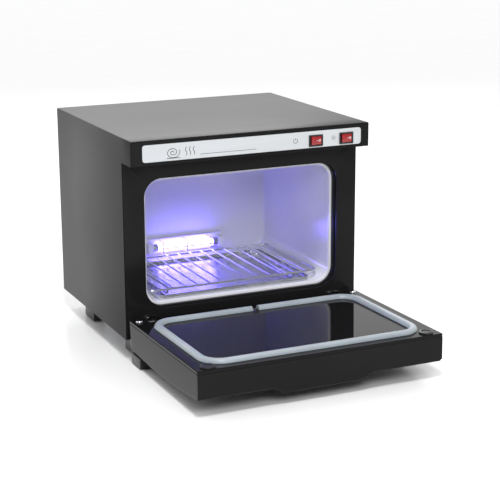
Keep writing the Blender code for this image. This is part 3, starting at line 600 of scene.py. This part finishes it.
for name in ("power", "uv"):
    low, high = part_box(f"{name}_switch_housing")
    spot = ((low.x + high.x) / 2, (low.z + high.z) / 2)
    body_end = high.y - TAB_LENGTH
    bezel = block(f"{name}_switch_bezel", low, (high.x, low.y + BEZEL_T, high.z))
    unite(bezel, box_round("body", spot, BODY, low.y + BEZEL_T / 2, body_end))
    carve(bezel, box_round("well", spot, WELL, low.y - OVERCUT, low.y + WELL_DEPTH))
    for x in (spot[0] - TAB_OUT, spot[0] + TAB_OUT):
        unite(bezel, box_round("tab", (x, spot[1]), TAB, body_end - TAB_ROOT, high.y))
    soften(bezel, width=0.0003, segments=3)
    fit(bezel, nylon_black, "root", "black_plastic", f"{name}_switch_housing")

    axis = Vector(joints[f"{name}_switch"]["pos_m"])
    lean = math.radians(joints[f"{name}_switch"]["range_deg"][1] / 2)
    rocker = block(f"{name}_rocker_cap", CAP_LOW, CAP_HIGH)
    pick(rocker, "FACE", lambda middle, normal: True)
    bpy.ops.mesh.bisect(plane_co=(0, 0, 0), plane_no=(1, 0, 0))
    pick(rocker, "VERT", lambda place, normal: near(place.x, 0) and place.y < 0)
    bpy.ops.transform.translate(value=(0, CAP_DIP, 0))
    pick(rocker, "VERT", lambda place, normal: place.y > 0 and abs(place.x) > 0.001)
    bpy.ops.transform.resize(value=(CAP_TAPER, 1, 1), center_override=(0, 0, 0))
    soften(rocker, width=0.0006, segments=4, angle=25)
    tip = Matrix.Translation(axis) @ Matrix.Rotation(lean, 4, "Z")
    rocker.data.transform(tip)
    fit(rocker, rocker_red, f"{name}_rocker", "rocker_red", f"{name}_rocker")

    on_mark = [(-0.0032, 0), (-0.0006, 0)]
    off_mark = arc((0.0024, 0), radius=0.0016, start=0, end=354, steps=16)
    marks = printed(f"{name}_switch_marks", [on_mark, off_mark], width=0.0008)
    slope = math.atan2(CAP_DIP, CAP_RUN)
    marks.data.transform(Matrix.Translation(MARK_SPOT) @ Matrix.Rotation(-slope, 4, "Z"))
    marks.data.transform(tip)
    fit(marks, mark_white, f"{name}_rocker", "rocker_red")

# The chamber: a deep-drawn liner in white enamel, with a rolled trim before it round the mouth. A bed of warm
# grey foam holds the liner in the case.
LIP_INSET = 0.0062
LIP_T = 0.0012
LINER_GAP = 0.0015
LINER_R = MOUTH_R - 0.0045
LINER_FOLD_R = 0.006
LINER_T = 0.0014
enamel = surface(
    "white_enamel", dark=(0.80, 0.80, 0.85), light=(0.85, 0.85, 0.90), gloss=(0.12, 0.2), grain=220,
    depth=0.00001, cloud=5.0)
foam = surface(
    "insulation_foam", dark=(0.42, 0.40, 0.35), light=(0.58, 0.56, 0.50), gloss=(0.85, 0.95), grain=260,
    depth=0.0004, cloud=30.0)
trim = rounded_panel("mouth_lip", mouth_low, mouth_high, trim_low.y, MOUTH_R)
face_at(trim, trim_low.y)
bpy.ops.mesh.inset(thickness=LIP_INSET)
push(0, trim_high.y - trim_low.y, 0)
bpy.ops.mesh.delete(type="FACE")
pick(trim, "FACE", lambda middle, normal: True)
bpy.ops.mesh.normals_make_consistent(inside=False)
modify(trim, "SOLIDIFY", thickness=LIP_T, offset=1)
soften(trim, width=0.0005, segments=4)
fit(trim, enamel, "root", "liner_white", "mouth_trim")

liner_low, liner_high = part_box("chamber_liner")
tub = rounded_panel("liner_tub", (liner_low.x + LINER_GAP, liner_low.z + LINER_GAP),
                    (liner_high.x - LINER_GAP, liner_high.z - LINER_GAP), liner_low.y, LINER_R)
face_at(tub, liner_low.y)
push(0, liner_high.y - liner_low.y - LINER_GAP, 0)
bpy.ops.mesh.bevel(offset=LINER_FOLD_R, segments=5, affect="EDGES")
face_at(tub, liner_low.y)
bpy.ops.mesh.delete(type="ONLY_FACE")
pick(tub, "FACE", lambda middle, normal: True)
bpy.ops.mesh.normals_make_consistent(inside=True)
modify(tub, "SOLIDIFY", thickness=LINER_T, offset=-1)
smooth(tub, angle=30)
fit(tub, enamel, "root", "liner_white", "chamber_liner")
coat(frame["nodes"]["liner_insulation"], foam)

# The wire rack that keeps the towels off the floor of the chamber, and the drip tray that it stands in. Both
# lift out: plated spot-welded wire, and pressed stainless sheet.
TRAY_CORNER_R = 0.008
TRAY_FOLD_R = 0.003
TRAY_T = 0.0008
plated_wire = surface(
    "plated_wire", dark=(0.70, 0.71, 0.74), light=(0.82, 0.83, 0.86), gloss=(0.1, 0.2), grain=500,
    depth=0.000008, cloud=60.0, Metallic=1.0)
stainless = surface(
    "stainless_sheet", dark=(0.56, 0.57, 0.59), light=(0.68, 0.69, 0.71), gloss=(0.2, 0.3), grain=40,
    depth=0.00002, cloud=25.0, stretch=(1, 30, 30), Metallic=1.0)
tray_low, tray_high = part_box("drip_tray")
tray = block("tray_pan", tray_low, tray_high)
pick(tray, "FACE", lambda middle, normal: normal.z > 0.9)
bpy.ops.mesh.delete(type="FACE")
pick(tray, "EDGE", lambda middle, along: abs(along.z) > 0.9)
bpy.ops.mesh.bevel(offset=TRAY_CORNER_R, segments=6, affect="EDGES")
pick(tray, "EDGE", lambda middle, along: near(middle.z, tray_low.z))
bpy.ops.mesh.bevel(offset=TRAY_FOLD_R, segments=4, affect="EDGES")
modify(tray, "SOLIDIFY", thickness=TRAY_T, offset=-1)
soften(tray, width=0.0003, segments=2, angle=50)
fit(tray, stainless, "root", "tray_steel", "drip_tray")


def wire(name, points, radius, closed=False):
    """A round wire along its points."""
    piece = drawn(name, [points], radius, roundness=4, closed=closed)
    smooth(piece, angle=40)
    return piece


RAIL_R = 0.0022
WIRE_R = 0.0015
CROSS_WIRES = 13
CROSS_RISE = 0.0013
TURN_R = 0.012
RUNNER_X = 0.126
RUNNER_IN = 0.012
RUNNER_BEND = ((0.0135, 0.004), (0.0155, 0.001), (0.019, 0))
BAR_DROP = 0.0004
rack_low, rack_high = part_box("wire_rack")
rail_z = rack_high.z - WIRE_R - CROSS_RISE
left, right = rack_low.x + RAIL_R, rack_high.x - RAIL_R
fore, aft = rack_low.y + RAIL_R, rack_high.y - RAIL_R
ring = []
for corner, (x, y) in enumerate(((right, aft), (left, aft), (left, fore), (right, fore))):
    centre = (x - math.copysign(TURN_R, x), y - (TURN_R if y == aft else -TURN_R))
    ring += [(*place, rail_z) for place in arc(centre, TURN_R, 90 * corner, 90 * corner + 90, steps=8)]
rack = [wire("rack_rail", ring, RAIL_R, closed=True)]
for number in range(CROSS_WIRES):
    x = right * (2 * (number + 1) / (CROSS_WIRES + 1) - 1)
    cross_z = rail_z + CROSS_RISE
    rack.append(wire("rack_cross_wire", [(x, fore, cross_z), (x, aft, cross_z)], WIRE_R))
foot_z = rack_low.z + RAIL_R
bar_z = rail_z - BAR_DROP
for x in (-RUNNER_X, RUNNER_X):
    runner = [(x, fore + RUNNER_IN, rail_z)]
    runner += [(x, fore + inward, foot_z + rise) for inward, rise in RUNNER_BEND]
    runner += [(x, aft - inward, foot_z + rise) for inward, rise in reversed(RUNNER_BEND)]
    runner += [(x, aft - RUNNER_IN, rail_z)]
    rack.append(wire("rack_runner", runner, RAIL_R))
    rack.append(wire("rack_bar", [(x, fore, bar_z), (x, aft, bar_z)], RAIL_R))
merge(*rack)
fit(rack[0], plated_wire, "root", "wire_plated", "wire_rack")

# The UV lamp: a small fused-glass tube with metal caps, between two white sockets on a base fixed to the back
# of the liner, behind a guard of thin wire. It is the source of the violet light in the chamber.
GUARD_R = 0.0011
BOW_R = 0.005
HOOP_X = 0.050


def round_bar(name, low, high):
    """A round bar along the x axis that fills the box between two corners."""
    begin()
    bpy.ops.mesh.primitive_cylinder_add(vertices=40, radius=(high.z - low.z) / 2, depth=high.x - low.x,
                                        location=(low + high) / 2, rotation=(0, math.radians(90), 0))
    return settle(bpy.context.object, name)


for node in ("uv_lamp_base", "uv_socket_left", "uv_socket_right"):
    low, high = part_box(node)
    holder = block(f"{node}_shell", low, high)
    soften(holder, width=0.0018, segments=5)
    fit(holder, enamel, "root", "liner_white", node)
tube_low, tube_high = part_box("uv_lamp_tube")
tube_mid = (tube_low + tube_high) / 2
tube = round_bar("uv_tube_glass", tube_low, tube_high)
soften(tube, width=0.002, segments=5)
uv_glass, uv_tree, uv_shader = new_material(
    "uv_glow_glass", Base_Color=(0.45, 0.40, 1.0, 1), Roughness=0.1, Emission_Strength=20.0)
tint(uv_tree, noise(uv_tree, 30), uv_shader.inputs["Emission Color"], (0.12, 0.10, 1.0), (0.22, 0.16, 1.0))
fit(tube, uv_glass, "root", "uv_glass", "uv_lamp_tube")
for side in ("left", "right"):
    cap = round_bar(f"uv_cap_{side}", *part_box(f"uv_lamp_cap_{side}"))
    soften(cap, width=0.0012, segments=4)
    fit(cap, bright_steel, "root", "steel", f"uv_lamp_cap_{side}")
guard_low, guard_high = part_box("uv_lamp_guard")
front, back = guard_low.y + GUARD_R, guard_high.y
bottom, top = guard_low.z + GUARD_R, guard_high.z - GUARD_R
guard = [wire("guard_bar", [(guard_low.x, front, tube_mid.z), (guard_high.x, front, tube_mid.z)], GUARD_R)]
for x in (-HOOP_X, 0, HOOP_X):
    hoop = [(x, back, bottom)]
    hoop += [(x, front + BOW_R - y, bottom + BOW_R - z) for y, z in arc((0, 0), BOW_R, 90, 0, steps=6)]
    hoop += [(x, front + BOW_R - y, top - BOW_R + z) for y, z in arc((0, 0), BOW_R, 0, 90, steps=6)]
    guard.append(wire("guard_hoop", [*hoop, (x, back, top)], GUARD_R))
merge(*guard)
fit(guard[0], plated_wire, "root", "wire_plated", "uv_lamp_guard")

# Behind and below the chamber: the heater plate with its thermostat and thermal fuse, the lamp's ballast, the
# terminal block, the wiring in black sleeves and the mains inlet with its brass pins.
alloy = surface(
    "heater_alloy", dark=(0.50, 0.50, 0.52), light=(0.62, 0.62, 0.64), gloss=(0.3, 0.42), grain=60,
    depth=0.00002, cloud=30.0, stretch=(1, 25, 1), Metallic=1.0)
ceramic = surface(
    "brown_ceramic", dark=(0.10, 0.085, 0.07), light=(0.14, 0.12, 0.10), gloss=(0.4, 0.55), grain=600,
    depth=0.00002, cloud=80.0)
casing = surface(
    "ballast_casing", dark=(0.58, 0.58, 0.56), light=(0.68, 0.68, 0.66), gloss=(0.4, 0.5), grain=500,
    depth=0.00001, cloud=50.0)
sleeve = surface(
    "braided_sleeve", dark=(0.03, 0.03, 0.032), light=(0.07, 0.07, 0.075), gloss=(0.5, 0.7), grain=1400,
    depth=0.0001, cloud=300.0)
brass = surface(
    "pin_brass", dark=(0.62, 0.48, 0.22), light=(0.75, 0.60, 0.30), gloss=(0.2, 0.3), grain=500,
    depth=0.00001, cloud=80.0, Metallic=1.0)
for node, mat in (("heater_plate", alloy), ("thermostat", ceramic), ("thermal_fuse", bright_steel),
                  ("uv_ballast", casing), ("terminal_block", casing), ("harness_inlet", sleeve),
                  ("harness_power_switch", sleeve), ("harness_uv_switch", sleeve), ("harness_lamp", sleeve),
                  ("harness_heater", sleeve), ("inlet_pin_line", brass), ("inlet_pin_earth", brass),
                  ("inlet_pin_neutral", brass), ("inlet_housing", nylon_black)):
    coat(frame["nodes"][node], mat)

# The four feet: moulded black nylon, fixed under the base, on round rubber pads. The front pair reaches
# forward under the open door.
PAD_R = 0.008
PAD_H = 0.0015
PAD_RIM = 0.0005
POST_PAD_IN = 0.02
STEM_X = (0.184, 0.206)
NOSE_END = 0.042
WEB_START = 0.038
POST_START = 0.052
WEB_LAP = 0.004
NOSE_TOP = 0.0195
rubber = surface(
    "pad_rubber", dark=(0.02, 0.02, 0.02), light=(0.035, 0.035, 0.035), gloss=(0.75, 0.85), grain=900,
    depth=0.00004, cloud=60.0)


def side_block(name, sign, x, y, z):
    """A box on the left or the right side, from its spans outwards, backwards and up."""
    across = sorted((sign * x[0], sign * x[1]))
    return block(name, (across[0], y[0], z[0]), (across[1], y[1], z[1]))


for sign, side in ((-1, "left"), (1, "right")):
    low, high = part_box(f"foot_front_{side}")
    foot = side_block(f"foot_moulding_front_{side}", sign, STEM_X, (low.y + POST_START, high.y),
                      (PAD_H, high.z))
    web = side_block("web", sign, STEM_X, (low.y + WEB_START, low.y + POST_START + WEB_LAP),
                     (PAD_H, NOSE_TOP))
    nose = side_block("nose", sign, (STEM_X[0], max(-low.x, high.x)), (low.y, low.y + NOSE_END),
                      (PAD_H, NOSE_TOP))
    unite(foot, web, nose)
    soften(foot, width=0.0014, segments=4)
    fit(foot, nylon_black, "root", "black_plastic", f"foot_front_{side}")
    rear_low, rear_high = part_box(f"foot_rear_{side}")
    rear = block(f"foot_moulding_rear_{side}", (rear_low.x, rear_low.y, PAD_H), rear_high)
    soften(rear, width=0.0014, segments=4)
    fit(rear, nylon_black, "root", "black_plastic", f"foot_rear_{side}")
    stem = sign * sum(STEM_X) / 2
    rear_y = (rear_low.y + rear_high.y) / 2
    for place, y in (("nose", low.y + NOSE_END / 2), ("post", high.y - POST_PAD_IN), ("rear", rear_y)):
        pad = turned_disc(f"foot_pad_{place}_{side}", PAD_R, PAD_H, PAD_RIM)
        smooth(pad, angle=30)
        pad.data.transform(Matrix.Translation((stem, y, PAD_H)) @ Matrix.Rotation(math.pi, 4, "X"))
        fit(pad, rubber, "root", "black_plastic")

# The hinges: a bright plated lug and barrel on the front of the chassis, a steel pin, and a nylon block with
# a domed chrome screw in the door on each side.
chrome = surface(
    "chrome_plate", dark=(0.80, 0.80, 0.82), light=(0.88, 0.88, 0.90), gloss=(0.04, 0.09), grain=200,
    depth=0.000004, cloud=60.0, Metallic=1.0)
hinge_joint = joints["door_hinge"]
hinge = Vector(hinge_joint["pos_m"])
level = Matrix.Rotation(math.radians(90 - hinge_joint["range_deg"][1]), 4, "X")
hang = Matrix.Translation(hinge) @ level.inverted()


def level_box(node):
    """The corners of a door part's box with the door laid level, measured from the hinge's axis."""
    places = [level @ (v.co - hinge) for v in frame["nodes"][node].data.vertices]
    return Vector(map(min, *places)), Vector(map(max, *places))


BARREL_R = 0.0085
BORE_R = 0.0033
LUG_T = 0.007
LUG_R = 0.009
ARM_INSET = 0.0001
SEAM_IN = 0.008
SEAM = 0.0002
SEAM_DEPTH = 0.003
DOME_R = 0.006
DOME_H = 0.0026
DOME_SEAT = 0.0025


def along_x(name, radius, low_x, high_x):
    """A round bar on the hinge's axis."""
    begin()
    bpy.ops.mesh.primitive_cylinder_add(vertices=64, radius=radius, depth=high_x - low_x,
                                        location=((low_x + high_x) / 2, hinge.y, hinge.z),
                                        rotation=(0, math.radians(90), 0))
    return settle(bpy.context.object, name)


for side in ("left", "right"):
    low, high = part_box(f"hinge_bracket_{side}")
    lug = rounded_panel(f"hinge_lug_{side}", (low.x, low.z), (high.x, high.z), high.y - LUG_T, LUG_R)
    face_at(lug, high.y - LUG_T)
    push(0, LUG_T, 0)
    arm = block("arm", (low.x, hinge.y, hinge.z - BARREL_R + ARM_INSET),
                (high.x, high.y - LUG_T / 2, hinge.z + BARREL_R - ARM_INSET))
    unite(lug, along_x("barrel", BARREL_R, low.x, high.x), arm)
    carve(lug, along_x("bore", BORE_R, low.x - OVERCUT, high.x + OVERCUT))
    for x in (low.x + SEAM_IN, high.x - SEAM_IN):
        carve(lug, block("seam", (x - SEAM, low.y - OVERCUT, low.z - OVERCUT),
                         (x + SEAM, low.y + SEAM_DEPTH, high.z + OVERCUT)))
    soften(lug, width=0.0004, segments=3, angle=50)
    fit(lug, chrome, "root", "hinge_metal", f"hinge_bracket_{side}")
    coat(frame["nodes"][f"hinge_pin_{side}"], bright_steel)
    coat(frame["nodes"][f"hinge_clevis_{side}"], nylon_black)
dome = cross_head("dome_head", DOME_R, DOME_H)
for side in ("left", "right"):
    low, high = level_box(f"hinge_screw_{side}")
    seat = hang @ Matrix.Translation(((low.x + high.x) / 2, (low.y + high.y) / 2, high.z - DOME_SEAT))
    screw = copy_to(dome, f"hinge_screw_head_{side}", seat)
    fit(screw, chrome, "door", "hinge_metal", f"hinge_screw_{side}")
bpy.data.objects.remove(dome)

# The door: a gloss black shell with a grip moulded into its free end, closed by a mirror-gloss inner panel
# over foam. The shell is one sheet of points laid level from the hinge's axis, then walled and hung at its
# angle.
coat(frame["nodes"]["door_insulation"], foam)
DOOR_WALL = 0.0025
EDGE_R = 0.004
HEEL_R = 0.014
BELLY_Y = -0.130
BELLY_Z = -0.042
HEEL_RISE = 0.0042
TOE_RISE = 0.0087
GRIP_DROP = 0.0105
GRIP_X = (0.065, 0.095)
GRIP_Y = (0.228, 0.275)
NOTCH = Vector((0.013, 0.0093, 0.0093))
NOTCH_REACH = 0.03
EDGE_STEPS = 6
PITCH = 0.004
shell_low, shell_high = level_box("door_outer_shell")
face_end = shell_high.y - HEEL_R
right_angle = [math.radians(90 * i / EDGE_STEPS) for i in range(EDGE_STEPS + 1)]


def ease(value, start, end):
    """0 before start, 1 after end, and a smooth step between."""
    t = min(max((value - start) / (end - start), 0), 1)
    return t * t * (3 - 2 * t)


def evenly(start, end):
    """Places from start to end, not more than a pitch apart."""
    count = math.ceil(abs(end - start) / PITCH)
    return [start + (end - start) * i / count for i in range(count + 1)]


def door_face(x, y):
    """The door's outer face: a shallow belly, the grip's bulge, and edges rounded into the sides."""
    beyond = y - BELLY_Y
    reach = -BELLY_Y if beyond > 0 else BELLY_Y - shell_low.y
    z = BELLY_Z + (HEEL_RISE if beyond > 0 else TOE_RISE) * (beyond / reach) ** 2
    z -= GRIP_DROP * ease(-y, *GRIP_Y) * ease(-abs(x), -GRIP_X[1], -GRIP_X[0])
    across = EDGE_R - min(shell_high.x - abs(x), EDGE_R)
    along = EDGE_R - min(y - shell_low.y, EDGE_R)
    return z + EDGE_R - math.sqrt(EDGE_R**2 - min(math.hypot(across, along), EDGE_R) ** 2)


rounded_end = [EDGE_R * (1 - math.sin(a)) for a in right_angle[1:]]
half_row = evenly(0, shell_high.x - EDGE_R) + [shell_high.x - d for d in rounded_end]
columns = [-x for x in reversed(half_row[1:])] + half_row
rows = [(shell_high.y - HEEL_R * (1 - math.cos(a)), HEEL_R * (1 - math.sin(a))) for a in right_angle[:-1]]
rows += [(y, 0) for y in evenly(face_end, shell_low.y + EDGE_R) + [shell_low.y + d for d in rounded_end]]
begin()
bpy.ops.mesh.primitive_grid_add(x_subdivisions=len(columns) - 1, y_subdivisions=len(rows) - 1, size=2)
shell = settle(bpy.context.object, "door_shell")
grid = bmesh.new()
grid.from_mesh(shell.data)
for vert in grid.verts:
    x = columns[round((vert.co.x + 1) / 2 * (len(columns) - 1))]
    y, lift = rows[round((1 - vert.co.y) / 2 * (len(rows) - 1))]
    vert.co = (x, y, door_face(x, min(y, face_end)) + lift)
rim = [edge for edge in grid.edges if edge.is_boundary]
walls = bmesh.ops.extrude_edge_only(grid, edges=rim)["geom"]
for vert in (item for item in walls if isinstance(item, bmesh.types.BMVert)):
    vert.co.z = shell_high.z
bmesh.ops.recalc_face_normals(grid, faces=grid.faces)
lowest = min(grid.faces, key=lambda face: face.calc_center_median().z)
if lowest.normal.z > 0:
    bmesh.ops.reverse_faces(grid, faces=grid.faces)
grid.to_mesh(shell.data)
grid.free()
modify(shell, "SOLIDIFY", thickness=DOOR_WALL, offset=-1)
for side in ("left", "right"):
    low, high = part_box(f"hinge_bracket_{side}")
    middle = (low.x + high.x) / 2
    carve(shell, block("hinge_notch", (middle - NOTCH.x, -NOTCH.y, -NOTCH.z),
                       (middle + NOTCH.x, NOTCH_REACH, NOTCH_REACH)))
smooth(shell, angle=30)
shell.data.transform(hang)
fit(shell, gloss_black, "door", "door_gloss", "door_outer_shell")
mirror_black = surface(
    "mirror_black_panel", dark=(0.006, 0.006, 0.0065), light=(0.008, 0.008, 0.0085),
    gloss=(0.015, 0.03), grain=120, depth=0.000002, cloud=3.0, Specular_IOR_Level=0.13)
coat(frame["nodes"]["door_inner_panel"], mirror_black)

# The door's seal: a half-round ring of pale silicone, laid on the inner panel with its butt gap at the hinge
# side. It is a bent bar with its lower half and its gap cut away.
SEAL_R = 0.0074
SEAL_TURN_R = 0.033
SEAL_CUT = 0.0001
SEAL_SPLIT = 0.006
UNDER_LOW = (-0.3, -0.4)
UNDER_HIGH = (0.3, 0.1)
TOOL_REACH = 0.02
low, high = level_box("door_gasket")
centre_x, fore, aft = high.x - SEAL_R, low.y + SEAL_R, high.y - SEAL_R
ring = []
for quarter, (x, y) in enumerate(((centre_x, aft), (-centre_x, aft), (-centre_x, fore), (centre_x, fore))):
    middle = (x - math.copysign(SEAL_TURN_R, x), y - (SEAL_TURN_R if y == aft else -SEAL_TURN_R))
    ring += [(*place, low.z) for place in arc(middle, SEAL_TURN_R, 90 * quarter, 90 * quarter + 90, steps=14)]
seal = wire("door_seal", ring, SEAL_R, closed=True)
carve(seal, block("seal_base", (*UNDER_LOW, low.z - TOOL_REACH), (*UNDER_HIGH, low.z + SEAL_CUT)))
carve(seal, block("seal_split", (-SEAL_SPLIT, aft - TOOL_REACH, low.z - OVERCUT),
                  (SEAL_SPLIT, aft + TOOL_REACH, low.z + TOOL_REACH)))
smooth(seal, angle=40)
seal.data.transform(hang)
silicone = surface(
    "seal_silicone", dark=(0.30, 0.34, 0.38), light=(0.36, 0.40, 0.44), gloss=(0.3, 0.4), grain=700,
    depth=0.00002, cloud=15.0, Subsurface_Weight=0.2)
fit(seal, silicone, "door", "seal_silicone", "door_gasket")

# The door's catches: a round magnet in a black nylon cup at each free corner of the inner panel. Each is a
# disc with a rounded rim and a shallow dish in its face.
CUP_RIM = 0.0006
CUP_RING = 0.0035
CUP_DISH = 0.0006
for side in ("left", "right"):
    low, high = level_box(f"door_magnet_{side}")
    disc = turned_disc(f"magnet_disc_{side}", (high.x - low.x) / 2, high.z - low.z, CUP_RIM)
    pick(disc, "FACE", lambda middle, normal: normal.z > 0.99)
    bpy.ops.mesh.inset(thickness=CUP_RING)
    push(0, 0, -CUP_DISH)
    smooth(disc, angle=30)
    disc.data.transform(hang @ Matrix.Translation(((low.x + high.x) / 2, (low.y + high.y) / 2, low.z)))
    fit(disc, nylon_black, "door", "black_plastic", f"door_magnet_{side}")

begin()
